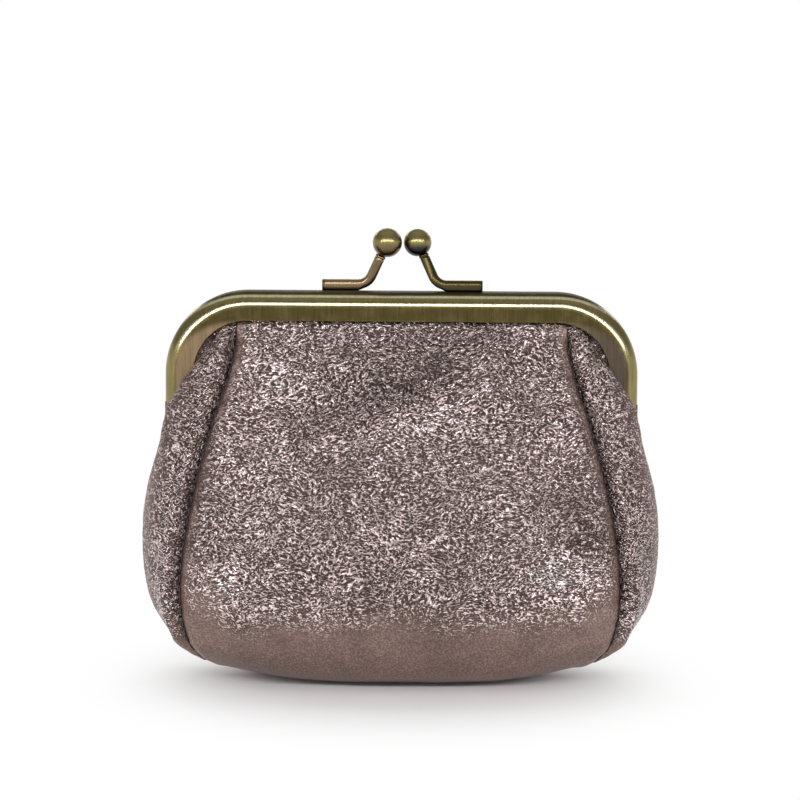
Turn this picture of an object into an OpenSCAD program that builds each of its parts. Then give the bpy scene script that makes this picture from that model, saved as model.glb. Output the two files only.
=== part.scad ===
// Coin purse with a hinged clasp frame: two stamped channel halves, two snap balls,
// a leather pouch of one panel and two gussets, and a cloth lining.
// X is the width, the front is at -Y, and the pouch stands on Z = 0. Millimetres.

/* [Frame] */
// Width over the two arms of the frame
frame_w = 100; // [88:1:125]
// Height of the frame's top above the base
frame_top = 83; // [78:0.5:95]
// Height of the hinge axis above the base
hinge_z = 54; // [48:0.5:58]
// Outer radius of the frame's corners
corner_r = 17.5; // [16:0.5:20]
// Width of the channel's face
face_h = 6.3; // [5.8:0.1:7]
// Thickness of one frame half, front to back
half_t = 5.1; // [4.9:0.05:6]
// Thickness of the brass sheet
sheet_t = 0.7; // [0.5:0.05:0.75]
// Radius of the domed outer edge
dome_r = 3.4; // [2.8:0.1:3.6]
// Gap between the closed halves
mate_gap = 0.3; // [0.2:0.05:0.6]
// Height of the channel's lower ends above the hinge axis
arm_lift = 4.2; // [3.9:0.1:5]

/* [Hinge] */
// Radius of the hinge ears
ear_r = 3.2; // [2.8:0.1:3.5]
// Gap between the front and rear ears
ear_gap = 0.1; // [0.08:0.01:0.2]
// Radius of the rivet's shank
rivet_r = 1.1; // [0.9:0.05:1.3]
// Radial running clearance of the rivet
rivet_clear = 0.05; // [0.03:0.01:0.09]
// Radius of the rivet's outer head
rivet_head_r = 2.2; // [2:0.1:2.6]
// Height of the rivet's outer head
rivet_head_h = 0.8; // [0.6:0.1:1]

/* [Clasp] */
// Diameter of the ball on the rear half
rear_ball_d = 6.2; // [5.6:0.1:6.3]
// Diameter of the ball on the front half
front_ball_d = 5.9; // [5.6:0.1:6.3]
// Distance between the centres of the two balls, side by side
ball_pitch = 6.4; // [6.35:0.05:7]
// Height of the balls' centres above the frame
ball_lift = 10.5; // [9:0.1:12]
// Diameter of the clasp arms
rod_d = 2; // [1.7:0.1:2.2]
// Distance of the arms' outer ends from the middle
foot_reach = 17; // [15:0.5:22]
// Inner bend radius of the arms, at the rod's middle
bend_r = 3.2; // [2.6:0.1:3.6]
// Angle of the arms above the frame
arm_angle = 66; // [60:1:72]
// Lean of the arms towards the other half
arm_lean = 12.5; // [8:0.5:14]

/* [Pouch] */
// Depth of the pouch at the belly, front to back
pouch_d = 48; // [40:1:60]
// How far the belly stands out past each frame arm
belly_out = 4.1; // [3:0.1:6]
// Thickness of the leather
leather_t = 0.9; // [0.7:0.05:1]
// Thickness of the lining
lining_t = 0.35; // [0.25:0.05:0.4]
// Diameter of the paper cord packed into the channels
packing_d = 1.7; // [1.4:0.1:1.7]

/* [Hidden] */
$fn = 64;

// Derived sizes of the frame. Depth d is measured from the middle plane outwards.
mate_d = mate_gap / 2;
face_d = mate_d + half_t;
centre_x = frame_w / 2 - corner_r;
centre_z = frame_top - corner_r;
inner_r = corner_r - face_h;
arm_end_z = hinge_z + arm_lift;
neck_w = 2.8;
neck_up = 1.2;
seat = 0.02;

// Places of the soft layers inside the channel
layer_gap = 0.15;
lining_gap = 0.25;
leather_gap = 0.25;
leather_d = face_d - sheet_t - leather_gap;
leather_reach = 0.2;
slot_deep_r = corner_r - dome_r + leather_reach;
packing_at_d = mate_d + sheet_t + packing_d / 2 + layer_gap;
packing_inset = 2.5;
packing_at_r = inner_r + packing_inset;
lip_gap = 0.45;
seam_gap = 0.3;
skived_t = 0.35;

// The pouch's form, station by station from under the frame to the keel line.
// Each row: middle y and z, seam inset, y and z, side inset, y and z, fold inset.
// An inset is measured inwards from the frame's outer width.
STATIONS = [
    [ -7.6, 72.5,  13.6,  -7.2, 71.6,  10.6,  -7.8, 72.4,   9.0],
    [ -9.4, 68.8,  13.5,  -8.8, 68.2,   6.6,  -8.2, 67.8,   8.0],
    [-12.4, 62.8,  12.5, -10.8, 62.8,   3.0,  -9.0, 62.6,   7.6],
    [-14.6, 58.8,  11.4, -12.3, 58.9,   0.9,  -9.5, 59.2,   7.6],
    [-15.6, 57.0,  10.9, -12.9, 57.3,   0.6,  -9.7, 57.5,   7.4],
    [-16.8, 55.0,  10.3, -13.5, 55.2,   0.2,  -9.8, 55.2,   6.4],
    [-18.8, 50.5,   9.0, -14.5, 50.6,  -0.7,  -9.9, 50.6,   3.6],
    [-21.4, 43.0,   7.1, -15.7, 43.4,  -2.8,  -9.8, 43.4,  -0.4],
    [-23.4, 34.5,   5.4, -16.4, 35.0,  -3.9,  -9.2, 35.0,  -4.0],
    [-24.0, 26.0,   4.2, -16.6, 26.5,  -4.1,  -8.6, 26.5,  -4.8],
    [-23.2, 16.0,   4.0, -15.6, 17.5,  -2.2,  -8.0, 17.0,  -3.0],
    [-21.0,  7.6,   5.2, -13.2, 10.5,   2.4,  -7.4,  9.6,   1.2],
    [-17.5,  2.2,   7.2,  -9.8,  6.5,   6.1,  -6.2,  6.4,   5.4],
    [-12.5,  0.0,   8.6,  -6.0,  4.6,   9.0,  -3.8,  4.2,   9.2],
    [ -6.0,  0.0,   9.4,  -2.8,  3.9,   9.4,  -2.0,  3.9,   9.4],
    [  0.0,  0.0,   9.5,   0.0,  3.8,   9.5,   0.0,  3.8,   9.5]
];
// Stations held in the channel, the first closed one, and the last of the gusset
GRIPPED = 3;
CLOSED = 5;
GUSSET_END = 13;

// The sizes at which the stations were drawn
DRAWN_HINGE = 54;
DRAWN_TOP = 83;
DRAWN_BELLY = 4.1;
DRAWN_DEPTH = 24;
DRAWN_FACE = 5.25;

// Stations fitted to the driving sizes
function fit_z(z) = z <= DRAWN_HINGE
    ? z * hinge_z / DRAWN_HINGE
    : hinge_z + (z - DRAWN_HINGE) * (frame_top - hinge_z) / (DRAWN_TOP - DRAWN_HINGE);
function fit_y(y) = y > -DRAWN_FACE
    ? y * face_d / DRAWN_FACE
    : -face_d + (y + DRAWN_FACE) * (pouch_d / 2 - face_d) / (DRAWN_DEPTH - DRAWN_FACE);
function fit_x(inset) = frame_w / 2 - (inset < 0 ? inset * belly_out / DRAWN_BELLY : inset);

function mid_of(s) = [0, fit_y(s[0]), fit_z(s[1])];
function seam_of(s) = [fit_x(s[2]), fit_y(s[3]), fit_z(s[4])];
function side_of(s) = [fit_x(s[5]), fit_y(s[6]), fit_z(s[7])];

// Vector helpers, and a smooth curve through the rows of points from one row on
function lerp(a, b, t) = a + (b - a) * t;
function catmull(a, b, c, d, t) = 0.5 * (2 * b + (c - a) * t
    + (2 * a - 5 * b + 4 * c - d) * t * t + (3 * b - a - 3 * c + d) * t * t * t);
function refine(rows, n, from = 0) = let (last = len(rows) - 1) concat(
    [for (i = [0:1:from - 1]) rows[i]],
    [for (i = [from:last - 1]) for (k = [0:n - 1])
        catmull(rows[max(0, i - 1)], rows[i], rows[i + 1], rows[min(last, i + 2)], k / n)],
    [rows[last]]);
function transpose(m) = [for (j = [0:len(m[0]) - 1]) [for (row = m) row[j]]];
function reverse(v) = [for (i = [len(v) - 1:-1:0]) v[i]];
function flip_y(p) = [p[0], -p[1], p[2]];
function flip_x(p) = [-p[0], p[1], p[2]];
function above_floor(p) = [p[0], p[1], max(0, p[2])];

// A point on the channel's path: s runs from the top's middle, r from the corner's centre
function on_path(s, r) = let (turn = max(0, abs(s) - centre_x) / inner_r * 180 / PI, way = sign(s))
    [way * (min(abs(s), centre_x) + r * sin(turn)), centre_z + r * cos(turn)];
// Half width inside the channel at height z
function inside_x(z, r) = centre_x
    + (z > centre_z ? sqrt(max(0, r * r - pow(z - centre_z, 2))) : r);

// Outer surface of the panel's front half: rows from the channel down to the keel
panel_spread = [0, 0.25, 0.5, 0.7, 0.86, 0.96, 1];
panel_edge_turn = 18;
panel_edge_s = centre_x + inner_r * panel_edge_turn * PI / 180;
function path_row(r, d) = [for (u = panel_spread)
    let (p = on_path(u * panel_edge_s, r)) [p[0], -d, p[1]]];
function station_row(s) = let (mid = mid_of(s), seam = seam_of(s) - [seam_gap / 2, 0, 0])
    [for (u = panel_spread) [
        u * seam[0],
        lerp(mid[1], seam[1], pow(u, 2.6)),
        lerp(mid[2], seam[2], pow(max(0, u - 0.5) * 2, 1.8))]];
// Radius and depth of the leather's rows from deep in the channel to just outside its lip
lip_path = [
    [slot_deep_r, leather_d], [inner_r + 0.1, leather_d],
    [inner_r - lip_gap, face_d - 0.5], [inner_r - lip_gap - 0.25, face_d + 0.75]];
panel_net = concat([for (p = lip_path) path_row(p[0], p[1])], [for (s = STATIONS) station_row(s)]);

// Outer surface of the right gusset's front half: each row runs from the seam round the side
function puff_of(seam, side) = lerp(seam, side, 0.42) + 0.25 * norm(side - seam) * [0.6, -0.8, 0];
function gripped_row(seam, side, pull) = let (x = inside_x(side[2], inner_r)) [
    seam, puff_of(seam, side), side,
    [lerp(x, side[0], 0.45), -face_d - 1.1, side[2]],
    [x - lip_gap - 0.1, -face_d - 0.5, side[2]],
    [x - lip_gap - 0.2, -leather_d - 0.2, side[2] + 0.1],
    [x + lerp(2, 0.1, pull), lerp(-leather_d, -leather_d + 1, pull), side[2] + 0.2]];
function closed_row(seam, side, fold) = concat([seam, puff_of(seam, side), side],
    [for (t = [0.35, 0.62, 0.82, 0.95]) [
        lerp(side[0], fold, pow(sin(90 * t), 2)), side[1] * (1 - t), side[2]]]);
function gusset_row(i) = let (
    s = STATIONS[i], seam = seam_of(s) + [seam_gap / 2, 0, 0], side = side_of(s))
    i < CLOSED ? gripped_row(seam, side, i > GRIPPED ? 1 : 0) : closed_row(seam, side, fit_x(s[8]));
// Share of the corner's turn, least radius and greatest depth of the gusset's columns at the lip
GUSSET_LIP = [[0, -2, 1], [0.4, -2, 1], [0.75, -2, 1], [0.88, -0.7, 0.7],
    [0.93, -0.45, 0.4], [0.97, -0.45, -0.7], [1, 1.7, -0.95]];
gusset_top_turn = 50;
// Each row of the lip lies this much further out of the channel than the one before
lip_shift = 0.2;
function gusset_lip_row(i) = [for (c = GUSSET_LIP) let (
    turn = lerp(panel_edge_turn + seam_gap / inner_r * 180 / PI, gusset_top_turn, c[0]),
    at_r = max(lip_path[i][0], inner_r + c[1] - lip_shift * i),
    at_d = min(lip_path[i][1], face_d + c[2]))
    [centre_x + at_r * sin(turn), -at_d, centre_z + at_r * cos(turn)]];
gusset_net = concat([for (i = [0:len(lip_path) - 1]) gusset_lip_row(i)],
    [for (i = [0:GUSSET_END]) gusset_row(i)]);

// Grid of outward normals
function grid_normal(g, i, j) = let (
    down = g[min(i + 1, len(g) - 1)][j] - g[max(i - 1, 0)][j],
    along = g[i][min(j + 1, len(g[0]) - 1)] - g[i][max(j - 1, 0)],
    n = cross(down, along)) n / norm(n);
// The grid moved inwards, by less where the edge of the piece is skived
function inset_grid(g, amount, edge) = [for (i = [0:len(g) - 1]) [for (j = [0:len(g[0]) - 1])
    g[i][j] - grid_normal(g, i, j) * (edge[j] ? min(amount, skived_t) : amount)]];

// A closed sheet between an outer and an inner grid, open above slit_row at column slit_col
module sheet(outer, inner, slit_row = 0, slit_col = -1) {
    nr = len(outer);
    nc = len(outer[0]);
    function at(i, j, layer) = (layer * nr + i) * nc + j;
    function real_cell(i, j) = i >= 0 && j >= 0 && i < nr - 1 && j < nc - 1
        && !(j == slit_col && i < slit_row);
    function wall(p, q) = [[p, q, q + nr * nc], [p, q + nr * nc, p + nr * nc]];
    faces = [for (i = [0:nr - 2]) for (j = [0:nc - 2]) if (real_cell(i, j))
        let (a = at(i, j, 0), b = at(i, j + 1, 0), c = at(i + 1, j + 1, 0), d = at(i + 1, j, 0),
            n = nr * nc)
        each concat(
            [[a, b, c], [a, c, d], [c + n, b + n, a + n], [d + n, c + n, a + n]],
            real_cell(i - 1, j) ? [] : wall(b, a),
            real_cell(i, j + 1) ? [] : wall(c, b),
            real_cell(i + 1, j) ? [] : wall(d, c),
            real_cell(i, j - 1) ? [] : wall(a, d))];
    polyhedron(points = concat([for (row = outer) each row], [for (row = inner) each row]),
        faces = faces);
}

// Whole grids from the front halves
function widen(half) = [for (row = half) concat(
    [for (j = [len(row) - 1:-1:1]) flip_x(row[j])], row)];
function fold_back(g) = concat(g, [for (i = [len(g) - 2:-1:0]) [for (p = g[i]) flip_y(p)]]);
function join_sides(g) = [for (row = g) concat(row, [for (p = reverse(row)) flip_y(p)])];

// Rows above this one are taken as they are, and the gusset is open down to it
SUB = 2;
FINE_FROM = len(lip_path) + CLOSED;
panel_half = [for (row = refine(panel_net, SUB, FINE_FROM)) [for (p = row) above_floor(p)]];
gusset_half = transpose(refine(transpose(refine(gusset_net, SUB, FINE_FROM)), SUB));
// The lining keeps every line of the lip and the fold, and every other one elsewhere
function lining_row(i) = i < FINE_FROM || (i - FINE_FROM) % SUB == 0;
lining_rows = [for (i = [0:len(panel_half) - 1]) if (lining_row(i)) i];
gusset_lining_rows = [
    for (i = [1:len(gusset_half) - 2]) if (i < FINE_FROM + SUB || lining_row(i)) i];
lining_columns = [for (j = [0:len(gusset_half[0]) - 1]) if (j >= 2 * SUB || j % SUB == 0) j];
function kept(v, places) = [for (i = places) v[i]];
function all_of(v) = [for (i = [0:len(v) - 1]) i];
function side_edges(n) = [for (j = [0:n - 1]) j == 0 || j == n - 1];
function front_edge(n) = [for (j = [0:n - 1]) j == 0];

// A layer of the panel between two depths below its outer surface
module panel_layer(rows, from, to) {
    g = widen(panel_half);
    outer = from > 0 ? inset_grid(g, from, []) : g;
    inner = inset_grid(g, to, from > 0 ? [] : side_edges(len(g[0])));
    sheet(fold_back(kept(outer, rows)), fold_back(kept(inner, rows)));
}

// A layer of the right gusset between two depths below its outer surface
module gusset_layer(rows, columns, from, to) {
    g = gusset_half;
    outer = from > 0 ? inset_grid(g, from, []) : g;
    inner = inset_grid(g, to, from > 0 ? [] : front_edge(len(g[0])));
    open_rows = len([for (i = rows) if (i < FINE_FROM) i]);
    sheet(join_sides([for (row = kept(outer, rows)) kept(row, columns)]),
        join_sides([for (row = kept(inner, rows)) kept(row, columns)]),
        open_rows, len(columns) - 1);
}

// A rectangle in radius and depth with its outer front corner rounded
module domed_rect(r0, r1, d0, d1, round_r) {
    translate([r0, d0]) square([r1 - r0 - round_r, d1 - d0]);
    translate([r0, d0]) square([r1 - r0, d1 - d0 - round_r]);
    translate([r1 - round_r, d1 - round_r]) intersection() {
        circle(round_r);
        square(round_r);
    }
}

// Section of the channel, radius across and depth up, with the rim of its face rounded
rim_round = 0.3;
past_rim = 1;
module channel_section() {
    difference() {
        domed_rect(inner_r, corner_r, mate_d, face_d, dome_r);
        domed_rect(inner_r - past_rim, corner_r - sheet_t, mate_d + sheet_t, face_d - sheet_t,
            dome_r - sheet_t);
        translate([inner_r, face_d - rim_round]) difference() {
            translate([-past_rim, 0]) square([past_rim + rim_round, past_rim]);
            translate([rim_round, 0]) circle(rim_round);
        }
    }
}

// Sweeps a section along the front half's path: top, corners and arms
module along_frame(end_z) {
    translate([-centre_x, 0, centre_z]) rotate([0, -90, 180])
        linear_extrude(2 * centre_x) children();
    for (side = [0, 1]) mirror([side, 0, 0]) translate([centre_x, 0, centre_z]) {
        rotate([90, 0, 0]) rotate_extrude(angle = 90) children();
        rotate([180, 0, 0]) linear_extrude(centre_z - end_z) children();
    }
}

// Hinge ear on the right arm, its inner face at x
module ear(x) {
    translate([x, 0, hinge_z]) rotate([90, 0, 90]) linear_extrude(sheet_t) difference() {
        union() {
            circle(ear_r);
            polygon([[-mate_d, 0], [-mate_d, arm_lift + neck_up],
                [-mate_d - neck_w, arm_lift + neck_up], [-ear_r, 0]]);
        }
        circle(rivet_r + rivet_clear);
    }
}

front_ear_x = frame_w / 2 - sheet_t;
rear_ear_x = front_ear_x - sheet_t - ear_gap;

module front_frame() {
    color([0.48, 0.42, 0.24]) union() {
        along_frame(arm_end_z) channel_section();
        for (side = [0, 1]) mirror([side, 0, 0]) ear(front_ear_x);
    }
}

// The rear half's ears are joggled inwards by one sheet
module rear_frame() {
    color([0.44, 0.38, 0.22]) rotate([0, 0, 180]) union() {
        along_frame(arm_end_z) channel_section();
        for (side = [0, 1]) mirror([side, 0, 0]) {
            ear(rear_ear_x);
            translate([rear_ear_x, -mate_d - neck_w, arm_end_z])
                cube([frame_w / 2 - rear_ear_x - sheet_t / 2, neck_w, neck_up]);
        }
    }
}

// Rivet on the right side: shank, domed outer head and flat inner head
module hinge_rivet() {
    inner_x = rear_ear_x - rivet_clear;
    outer_x = frame_w / 2 + rivet_clear;
    inner_head_h = 0.6;
    inner_head_r = 0.86 * rivet_head_r;
    head_dome_r = 1.35 * rivet_head_r;
    shank_end = 0.1;
    translate([0, 0, hinge_z]) rotate([0, 90, 0]) {
        translate([0, 0, inner_x - inner_head_h]) cylinder(r = inner_head_r, h = inner_head_h);
        translate([0, 0, inner_x - shank_end])
            cylinder(r = rivet_r, h = outer_x - inner_x + 2 * shank_end);
        translate([0, 0, outer_x]) intersection() {
            cylinder(r = rivet_head_r, h = rivet_head_h);
            translate([0, 0, rivet_head_h - head_dome_r]) sphere(head_dome_r);
        }
    }
}

module right_hinge_rivet() {
    color([0.5, 0.44, 0.26]) hinge_rivet();
}

module left_hinge_rivet() {
    color([0.5, 0.44, 0.26]) mirror([1, 0, 0]) hinge_rivet();
}

// The rear half's clasp arm: a foot along the frame's top, one bend, and the stem to its ball.
// Its section is round with a flat underside, and the foot's outer end turns down to the frame.
foot_gap = 0.3;
foot_lift = rod_d / 2 + foot_gap;
foot_inset = 0.1;
foot_d = mate_d + rod_d / 2 + foot_inset;
foot_tab = 1;
flat_share = 0.85;
arm_sides = 14;
bend_steps = 6;
stem_run = (ball_lift - foot_lift - bend_r * (1 - cos(arm_angle))) / tan(arm_angle);
stem_l = stem_run / cos(arm_angle);
bend_x = -ball_pitch / 2 - stem_run - bend_r * sin(arm_angle);

function leaned(p, a) = [p[0], p[1] * cos(a) - p[2] * sin(a), p[1] * sin(a) + p[2] * cos(a)];
function arm_place(p, a) = leaned(p, a) + [0, foot_d, frame_top + foot_lift];
// One ring of the arm round the point (x, h) of its middle line, tilted by turn
function arm_ring(x, h, turn, tab = false) = [for (k = [0:arm_sides - 1]) let (
    a = 360 * k / arm_sides,
    side = rod_d / 2 * cos(a),
    up = tab && sin(a) < 0 ? -(foot_lift - seat) * pow(-sin(a), 0.3)
        : rod_d / 2 * max(-flat_share, sin(a)))
    arm_place([x - up * sin(turn), side, h + up * cos(turn)], arm_lean * turn / arm_angle)];
function stem_ring(along) = arm_ring(
    bend_x + bend_r * sin(arm_angle) + along * cos(arm_angle),
    bend_r * (1 - cos(arm_angle)) + along * sin(arm_angle), arm_angle);
module clasp_arm(ball_d) {
    rings = concat(
        [arm_ring(-foot_reach, 0, 0, true), arm_ring(-foot_reach + foot_tab, 0, 0, true),
         arm_ring(-foot_reach + foot_tab + seat, 0, 0)],
        [for (k = [0:bend_steps]) let (turn = arm_angle * k / bend_steps)
            arm_ring(bend_x + bend_r * sin(turn), bend_r * (1 - cos(turn)), turn)],
        [stem_ring(stem_l - ball_d / 2 - seat)]);
    n = arm_sides;
    last = (len(rings) - 1) * n;
    polyhedron(points = [for (ring = rings) each ring], faces = concat(
        [[for (k = [n - 1:-1:0]) k], [for (k = [0:n - 1]) last + k]],
        [for (i = [0:len(rings) - 2]) for (k = [0:n - 1]) let (
            a = i * n + k, b = i * n + (k + 1) % n) each [[a, b, b + n], [a, b + n, a + n]]]));
}
module clasp_ball(d) {
    translate(arm_place([-ball_pitch / 2, 0, ball_lift - foot_lift], arm_lean)) sphere(d / 2);
}

module rear_clasp_arm() {
    color([0.5, 0.42, 0.28]) clasp_arm(rear_ball_d);
}

module rear_clasp_ball() {
    color([0.55, 0.48, 0.28]) clasp_ball(rear_ball_d);
}

module front_clasp_arm() {
    color([0.4, 0.36, 0.24]) rotate([0, 0, 180]) clasp_arm(front_ball_d);
}

module front_clasp_ball() {
    color([0.55, 0.48, 0.28]) rotate([0, 0, 180]) clasp_ball(front_ball_d);
}

module main_panel() {
    color([0.45, 0.36, 0.36]) panel_layer(all_of(panel_half), 0, leather_t);
}

module leather_gusset() {
    gusset_layer(all_of(gusset_half), all_of(gusset_half[0]), 0, leather_t);
}

module right_gusset() {
    color([0.42, 0.33, 0.34]) leather_gusset();
}

module left_gusset() {
    color([0.42, 0.33, 0.34]) mirror([1, 0, 0]) leather_gusset();
}

lining_from = leather_t + lining_gap;
module gusset_lining() {
    gusset_layer(gusset_lining_rows, lining_columns, lining_from, lining_from + lining_t);
}

module main_lining() {
    color([0.16, 0.13, 0.14]) panel_layer(lining_rows, lining_from, lining_from + lining_t);
}

module right_gusset_lining() {
    color([0.18, 0.15, 0.16]) gusset_lining();
}

module left_gusset_lining() {
    color([0.18, 0.15, 0.16]) mirror([1, 0, 0]) gusset_lining();
}

// Paper cord pressed into the channel between the lining and the mating wall
neck_gap = 0.4;
module packing_cord() {
    along_frame(arm_end_z + neck_up + neck_gap) translate([packing_at_r, packing_at_d])
        circle(packing_d / 2);
}

module front_packing_cord() {
    color([0.75, 0.66, 0.5]) packing_cord();
}

module rear_packing_cord() {
    color([0.75, 0.66, 0.5]) rotate([0, 0, 180]) packing_cord();
}

front_frame();
rear_frame();
left_hinge_rivet();
right_hinge_rivet();
front_clasp_arm();
front_clasp_ball();
rear_clasp_arm();
rear_clasp_ball();
main_panel();
left_gusset();
right_gusset();
main_lining();
left_gusset_lining();
right_gusset_lining();
front_packing_cord();
rear_packing_cord();
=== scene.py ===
"""Clasp-frame coin purse: its soft pieces, clasp arms and finishes around the CAD frame."""

import math

import bpy
import numpy as np
from bpy.props import FloatProperty, FloatVectorProperty, IntProperty, PointerProperty
from mathutils import Matrix, Vector


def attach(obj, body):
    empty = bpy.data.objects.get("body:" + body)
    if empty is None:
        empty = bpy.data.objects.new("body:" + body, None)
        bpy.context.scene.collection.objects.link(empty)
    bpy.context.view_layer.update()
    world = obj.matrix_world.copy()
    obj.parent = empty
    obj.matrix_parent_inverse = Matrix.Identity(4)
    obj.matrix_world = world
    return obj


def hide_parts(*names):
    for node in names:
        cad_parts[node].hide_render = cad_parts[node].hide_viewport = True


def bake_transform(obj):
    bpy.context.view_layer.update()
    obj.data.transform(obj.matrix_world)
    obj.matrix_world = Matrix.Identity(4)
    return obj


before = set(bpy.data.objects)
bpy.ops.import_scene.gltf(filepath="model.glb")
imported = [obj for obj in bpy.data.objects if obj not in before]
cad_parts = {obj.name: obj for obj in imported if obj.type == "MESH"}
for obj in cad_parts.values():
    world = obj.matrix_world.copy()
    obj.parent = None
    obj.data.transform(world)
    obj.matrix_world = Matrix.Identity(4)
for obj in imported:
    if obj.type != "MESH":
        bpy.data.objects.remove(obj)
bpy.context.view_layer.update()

bl_info = {
    "name": "Clasp-frame coin purse",
    "version": (1, 0, 0),
    "blender": (4, 5, 0),
    "location": "3D View > Sidebar > Purse",
    "description": "Builds the soft pieces and finishes of a clasp-frame coin purse",
    "category": "Add Mesh",
}

MM = 0.001

# The frame's own sizes in millimetres, the same values as in the part's source
FRAME_W = 100.0
CORNER_R = 17.5
FACE_H = 6.3
FRAME_TOP = 83.0
FACE_D = 5.25
SHEET_T = 0.7
LEATHER_D = 4.3
SLOT_DEEP_R = 14.3
LIP_GAP = 0.45
CENTRE_X = FRAME_W / 2 - CORNER_R
CENTRE_Z = FRAME_TOP - CORNER_R
INNER_R = CORNER_R - FACE_H

# Gap in millimetres between the edges of a panel and a gusset that are sewn together
SEAM_GAP = 0.02

# The pouch's form, from under the frame to the keel line, in millimetres: as in the part's source,
# but with the seams further in at the top and with a rounder bottom edge.
# Each row: middle y and z, seam inset, y and z, side inset, y and z, fold inset.
# An inset is measured inwards from the frame's outer width.
STATIONS = [
    [-7.6, 72.5, 15.0, -7.2, 71.6, 10.6, -7.8, 72.4, 9.0],
    [-9.4, 68.8, 14.3, -8.8, 68.2, 6.6, -8.2, 67.8, 8.0],
    [-12.4, 62.8, 12.8, -10.8, 62.8, 3.0, -9.0, 62.6, 7.6],
    [-14.6, 58.8, 11.4, -12.3, 58.9, 0.9, -9.5, 59.2, 7.6],
    [-15.6, 57.0, 10.9, -12.9, 57.3, 0.6, -9.7, 57.5, 7.4],
    [-16.8, 55.0, 10.3, -13.5, 55.2, 0.2, -9.8, 55.2, 6.4],
    [-18.8, 50.5, 9.0, -14.5, 50.6, -0.7, -9.9, 50.6, 3.6],
    [-21.4, 43.0, 7.1, -15.7, 43.4, -2.8, -9.8, 43.4, -0.4],
    [-23.4, 34.5, 5.4, -16.4, 35.0, -3.9, -9.2, 35.0, -4.0],
    [-24.0, 26.0, 4.2, -16.6, 26.5, -4.1, -8.6, 26.5, -4.8],
    [-23.2, 16.0, 4.0, -15.6, 17.5, -2.2, -8.0, 17.0, -3.0],
    [-20.6, 8.4, 5.2, -13.2, 10.5, 2.4, -7.4, 9.6, 1.2],
    [-16.6, 3.6, 7.2, -9.8, 6.5, 6.1, -6.2, 6.4, 5.4],
    [-10.8, 1.1, 8.6, -6.0, 4.6, 9.0, -3.8, 4.2, 9.2],
    [-5.0, 0.1, 9.4, -2.8, 3.9, 9.4, -2.0, 3.9, 9.4],
    [0.0, 0.0, 9.5, 0.0, 3.8, 9.5, 0.0, 3.8, 9.5],
]
# Last row gripped in the channel, first one closed round the side, and the gusset's last
GRIPPED = 3
CLOSED = 5
GUSSET_END = 13
# Columns of the panel's net, as shares of its half width, and its width at the widest
PANEL_SPREAD = [0, 0.25, 0.5, 0.7, 0.86, 0.96, 1]
PANEL_W = 0.94 * FRAME_W
# How far round the frame's corner the panel's edge lies and the gusset's gripped rows end
PANEL_EDGE_TURN = math.radians(12)
GUSSET_TOP_TURN = math.radians(50)

# The two halves: name, sign of y on their side, and the frame half's body
HALVES = (("front", -1, "front_half"), ("rear", 1, "rear_half"))


def length_property(name, description, millimetres):
    return FloatProperty(name=name, description=description, default=millimetres * MM, unit="LENGTH")


def colour_property(name, description, value):
    return FloatVectorProperty(name=name, description=description, subtype="COLOR", size=3, default=value)


class PurseSizes(bpy.types.PropertyGroup):
    """Sizes of the soft pieces"""

    leather_t: length_property("Leather thickness", "Thickness of the leather", 0.9)
    skived_t: length_property(
        "Skived edge", "Thickness of the leather where it is pared down at a seam", 0.35)
    lining_t: length_property("Lining thickness", "Thickness of the lining cloth", 0.35)
    lining_gap: length_property("Lining gap", "Gap between the leather and the lining", 0.25)
    leather_step: length_property("Leather mesh step", "Size of the leather's faces", 0.42)
    lining_step: length_property("Lining mesh step", "Size of the lining's faces", 1.2)
    crinkle_h: length_property("Crinkle height", "Height of the foil's crinkles in the mesh", 0.08)
    swell_share: FloatProperty(
        name="Swells", description="Share of the leather's full swells, dents and seam rolls",
        default=1.0, subtype="FACTOR")
    stitch_pitch: length_property("Stitch pitch", "Distance from one stitch to the next", 2.35)
    thread_d: length_property("Thread diameter", "Diameter of the seam thread", 0.42)
    arm_sides: IntProperty(
        name="Clasp arm sides", description="Faces round a clasp arm",
        default=28)


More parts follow.
